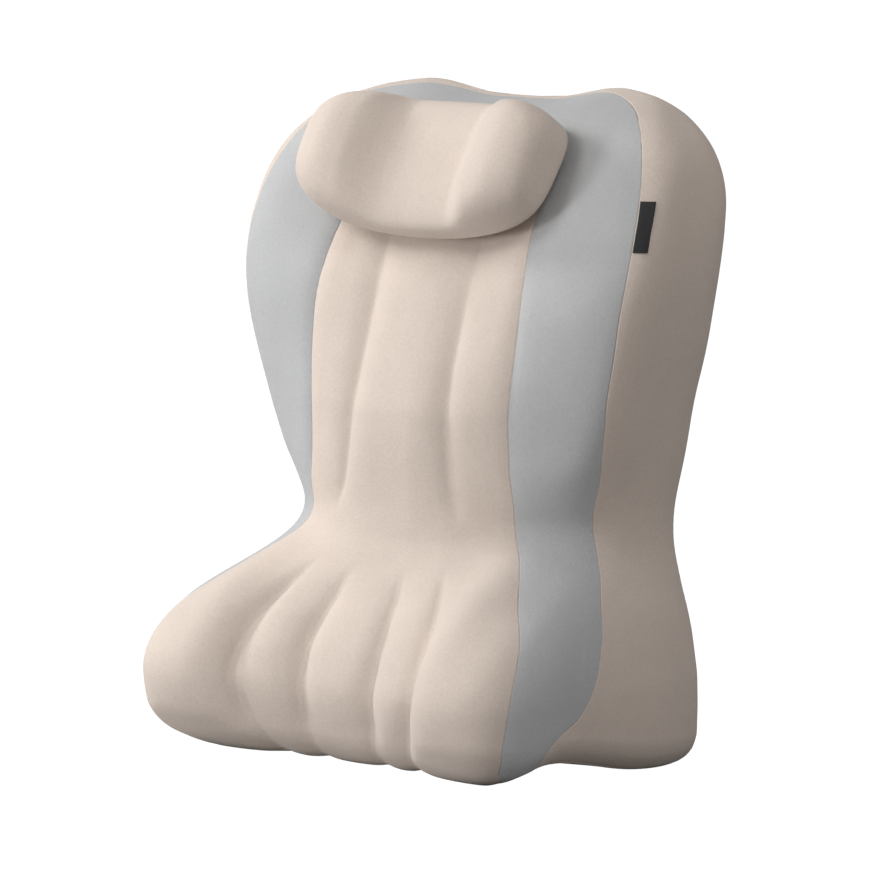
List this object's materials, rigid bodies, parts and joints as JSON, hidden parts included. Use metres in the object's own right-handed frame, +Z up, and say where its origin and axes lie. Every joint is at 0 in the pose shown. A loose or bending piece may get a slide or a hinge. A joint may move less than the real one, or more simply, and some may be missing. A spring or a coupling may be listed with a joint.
{
  "type": "lumbar support cushion",
  "caption": "Full-height back cushion for a desk chair: broad ribbed lumbar bulge at the foot, waisted outline, two-tone zipped knit cover and a sliding neck pillow.",
  "frame": {"origin": "middle of the underside, on the floor, straight below the seam plane of the slab and the bulge", "axes": "+Z up, +X to the sitter's left, -Y towards the sitter (the bulge and the neck pillow face -Y)"},
  "size_m": [0.5372, 0.3513, 0.6355],
  "materials": {
    "core_foam": "open-cell foam, matt",
    "pillow_foam": "soft open-cell foam, matt",
    "liner_cloth": "thin white stretch liner",
    "beige_knit": "fine beige knit with a slight sheen",
    "grey_knit": "fine light-grey knit with a slight sheen",
    "label_tape": "black woven tape, plain",
    "zip_tape": "taupe woven zip tape",
    "zip_coil": "taupe nylon coil",
    "zip_metal": "nickel-plated",
    "elastic_web": "black elastic webbing",
    "adjuster_plastic": "black moulded, satin",
    "hook_tape": "black hook tape",
    "loop_tape": "taupe loop tape"
  },
  "bodies": {
    "cushion": {"foam_core": "core_foam", "inner_liner": "liner_cloth", "front_panel": "beige_knit", "surround_panel": "grey_knit", "side_gusset": "beige_knit", "back_panel": "beige_knit", "base_panel": "beige_knit", "side_label": "label_tape", "zip_tape_upper": "zip_tape", "zip_tape_lower": "zip_tape", "zip_coil": "zip_coil", "zip_stop_left": "zip_metal", "zip_stop_right": "zip_metal", "chair_strap": "elastic_web", "strap_tail": "elastic_web", "loop_strip_right": "loop_tape", "loop_strip_left": "loop_tape"},
    "neck_pillow": {"pillow_core": "pillow_foam", "pillow_front_cover": "beige_knit", "pillow_back_cover": "beige_knit", "hook_strip_right": "hook_tape", "hook_strip_left": "hook_tape"},
    "slider": {"zip_slider": "zip_metal"},
    "pull": {"zip_pull": "zip_metal"},
    "adjuster": {"strap_adjuster": "adjuster_plastic"}
  },
  "joints": [
    {"name": "pillow_height", "type": "slide", "parent": "cushion", "child": "neck_pillow", "axis": [0, 0.5592, 0.829], "range_m": [-0.025, 0.025]},
    {"name": "zip_slide", "type": "slide", "parent": "cushion", "child": "slider", "axis": [1, 0, 0], "range_m": [0, 0.26]},
    {"name": "zip_pull_swing", "type": "hinge", "parent": "slider", "child": "pull", "pos_m": [-0.132, 0.1874, 0.078], "axis": [0, 0, 1], "range_deg": [0, 165]},
    {"name": "strap_adjust", "type": "slide", "parent": "cushion", "child": "adjuster", "axis": [1, 0, 0], "range_m": [-0.06, 0.025]}
  ]
}
